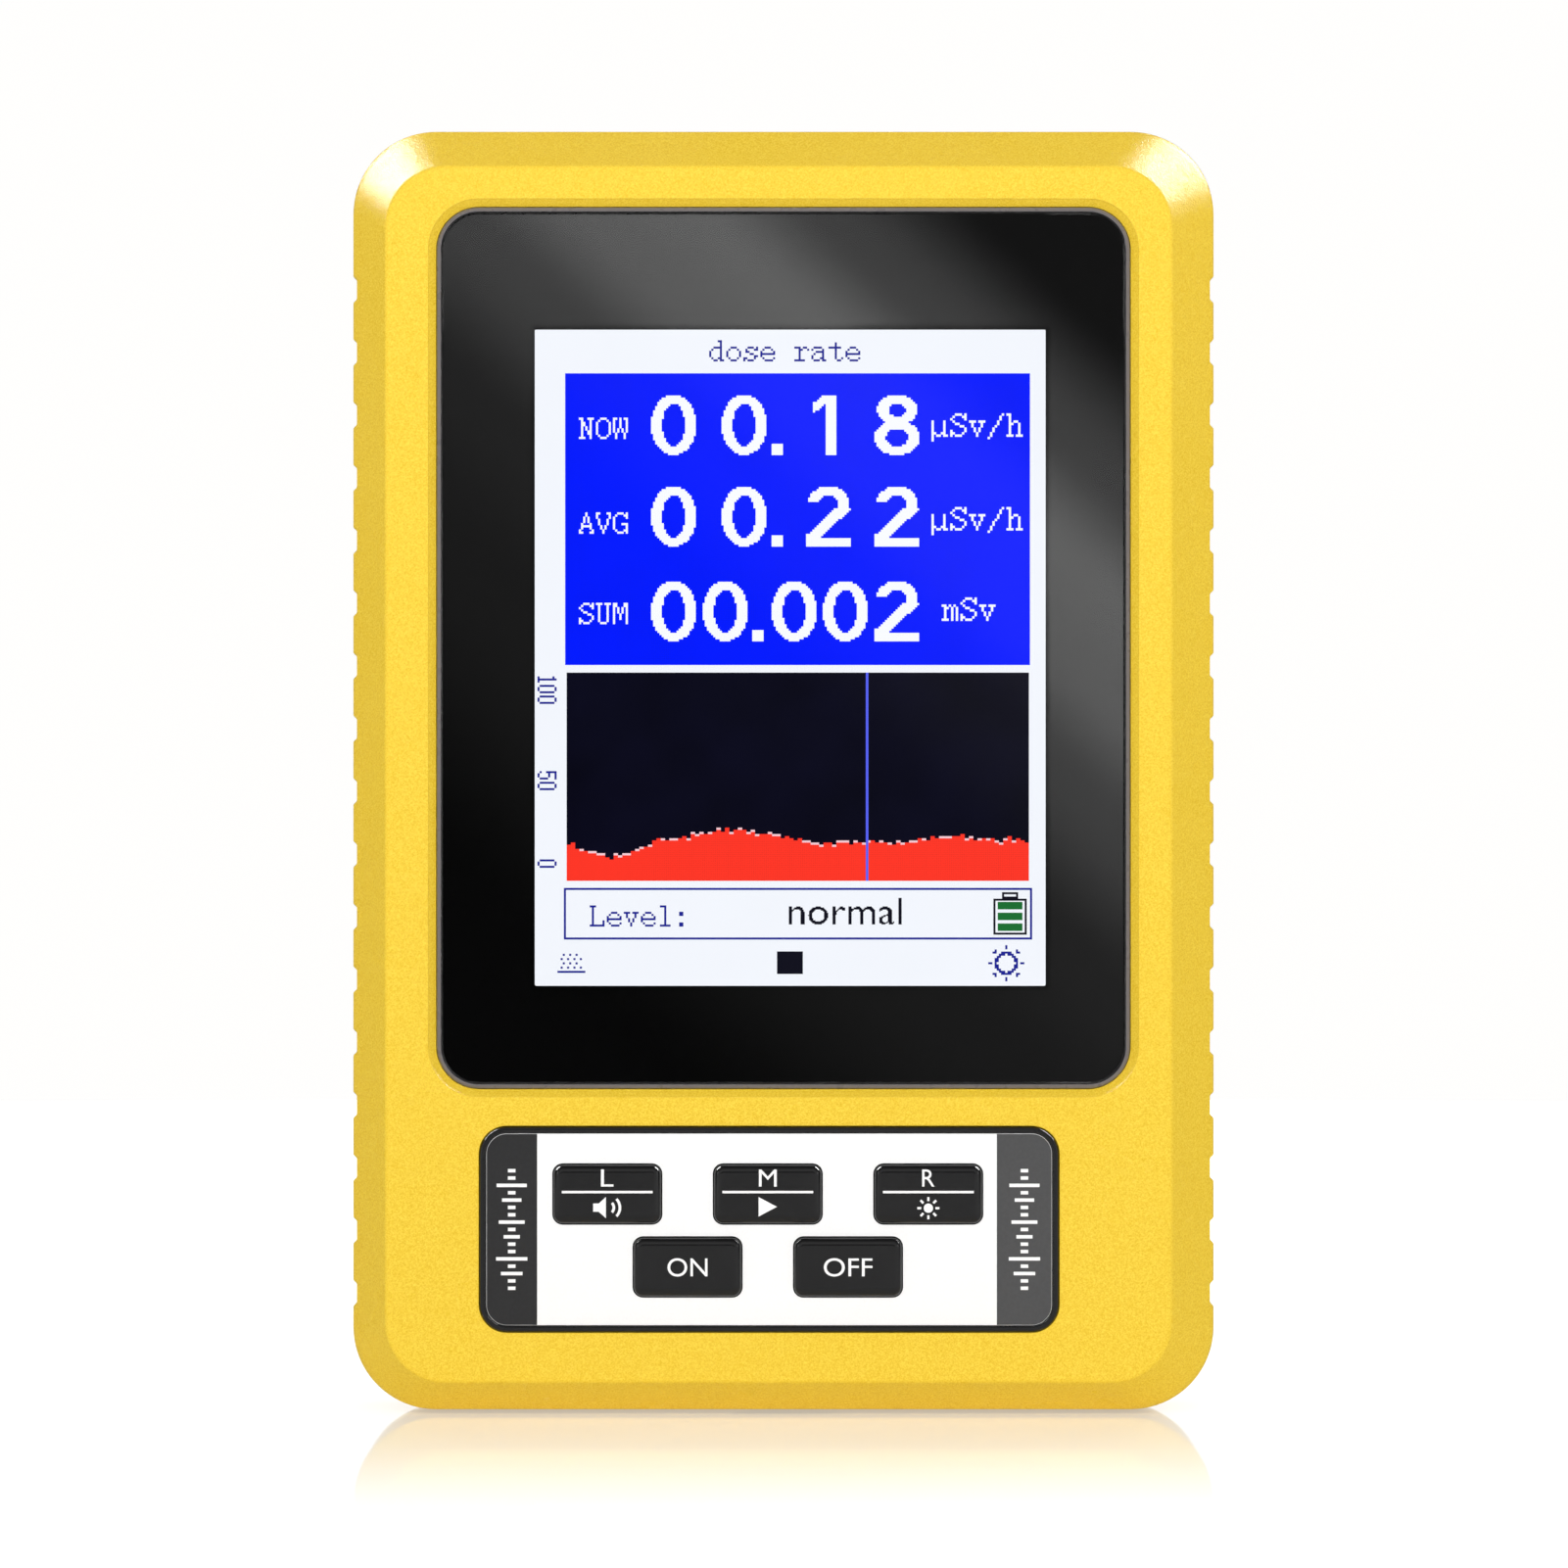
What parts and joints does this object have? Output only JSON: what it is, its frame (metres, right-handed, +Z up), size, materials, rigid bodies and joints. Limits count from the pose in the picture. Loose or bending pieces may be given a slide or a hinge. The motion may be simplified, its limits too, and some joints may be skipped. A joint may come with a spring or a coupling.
{
  "type": "geiger counter",
  "caption": "Hand-held radiation meter: upright yellow case with a large colour display window, a keypad of sprung keys below it, and a tube with sensor slots at the back.",
  "frame": {"origin": "middle of the bounding box's bottom, on the surface that the meter stands on", "axes": "+Z up along the height, +X to the right seen from the front, +Y from the display to the back"},
  "size_m": [0.08, 0.026, 0.1188],
  "materials": {
    "case_yellow": "moulded ABS with a fine spark texture, satin",
    "clear_acrylic": "clear polished acrylic sheet with a bevelled edge",
    "black_print": "black ink printed on clear film",
    "adhesive_tape": "black foam tape, sticky on both sides",
    "display_glass": "liquid-crystal panel glass, lit from behind",
    "white_plastic": "plain white moulding",
    "flex_polyimide": "amber flexible circuit",
    "black_gloss_plastic": "polished black moulding",
    "white_plate": "white printed sheet",
    "label_silver": "blank matt silver label",
    "board_green": "green solder resist over glass fibre",
    "tube_glass": "thin clear glass",
    "tinned_metal": "tin-plated sheet",
    "brass": "bare spring brass",
    "steel": "zinc-plated steel",
    "ferrite": "fired ferrite, matt",
    "capacitor_blue": "dipped epoxy",
    "chip_black": "moulded epoxy, matt",
    "battery_foil": "laminated foil pouch",
    "wire_red": "silicone insulation",
    "wire_black": "silicone insulation"
  },
  "bodies": {
    "meter_body": {"front_housing": "case_yellow", "rear_housing": "case_yellow", "rear_label": "label_silver", "housing_screw_1": "steel", "housing_screw_2": "steel", "housing_screw_3": "steel", "housing_screw_4": "steel", "window_lens": "clear_acrylic", "window_mask": "black_print", "window_tape": "adhesive_tape", "display_panel": "display_glass", "display_backlight": "white_plastic", "display_flex": "flex_polyimide", "keypad_bezel": "black_gloss_plastic", "keypad_faceplate": "white_plate", "main_board": "board_green", "board_screw_1": "steel", "board_screw_2": "steel", "board_screw_3": "steel", "board_screw_4": "steel", "switch_body_sound": "chip_black", "switch_body_play": "chip_black", "switch_body_light": "chip_black", "switch_body_on": "chip_black", "switch_body_off": "chip_black", "tube_glass": "tube_glass", "tube_cathode_cap": "tinned_metal", "tube_anode_cap": "tinned_metal", "tube_anode_wire": "steel", "tube_clip_lower": "brass", "tube_clip_upper": "brass", "supply_inductor": "ferrite", "supply_capacitor": "capacitor_blue", "microcontroller": "chip_black", "charger_chip": "chip_black", "crystal": "tinned_metal", "buzzer": "chip_black", "battery_cell": "battery_foil", "battery_tape": "adhesive_tape", "battery_header": "white_plastic", "battery_plug": "white_plastic", "battery_lead_positive": "wire_red", "battery_lead_negative": "wire_black", "charging_socket": "tinned_metal", "socket_tongue": "chip_black"},
    "key_sound": {"key_cap_sound": "black_gloss_plastic", "key_plunger_sound": "white_plastic"},
    "key_play": {"key_cap_play": "black_gloss_plastic", "key_plunger_play": "white_plastic"},
    "key_light": {"key_cap_light": "black_gloss_plastic", "key_plunger_light": "white_plastic"},
    "key_on": {"key_cap_on": "black_gloss_plastic", "key_plunger_on": "white_plastic"},
    "key_off": {"key_cap_off": "black_gloss_plastic", "key_plunger_off": "white_plastic"}
  },
  "joints": [
    {"name": "key_sound_press", "type": "slide", "parent": "meter_body", "child": "key_sound", "axis": [0, 1, 0], "range_m": [0, 0.0005], "stiffness_N_per_m": 1600},
    {"name": "key_play_press", "type": "slide", "parent": "meter_body", "child": "key_play", "axis": [0, 1, 0], "range_m": [0, 0.0005], "stiffness_N_per_m": 1600},
    {"name": "key_light_press", "type": "slide", "parent": "meter_body", "child": "key_light", "axis": [0, 1, 0], "range_m": [0, 0.0005], "stiffness_N_per_m": 1600},
    {"name": "key_on_press", "type": "slide", "parent": "meter_body", "child": "key_on", "axis": [0, 1, 0], "range_m": [0, 0.0005], "stiffness_N_per_m": 1600},
    {"name": "key_off_press", "type": "slide", "parent": "meter_body", "child": "key_off", "axis": [0, 1, 0], "range_m": [0, 0.0005], "stiffness_N_per_m": 1600}
  ]
}
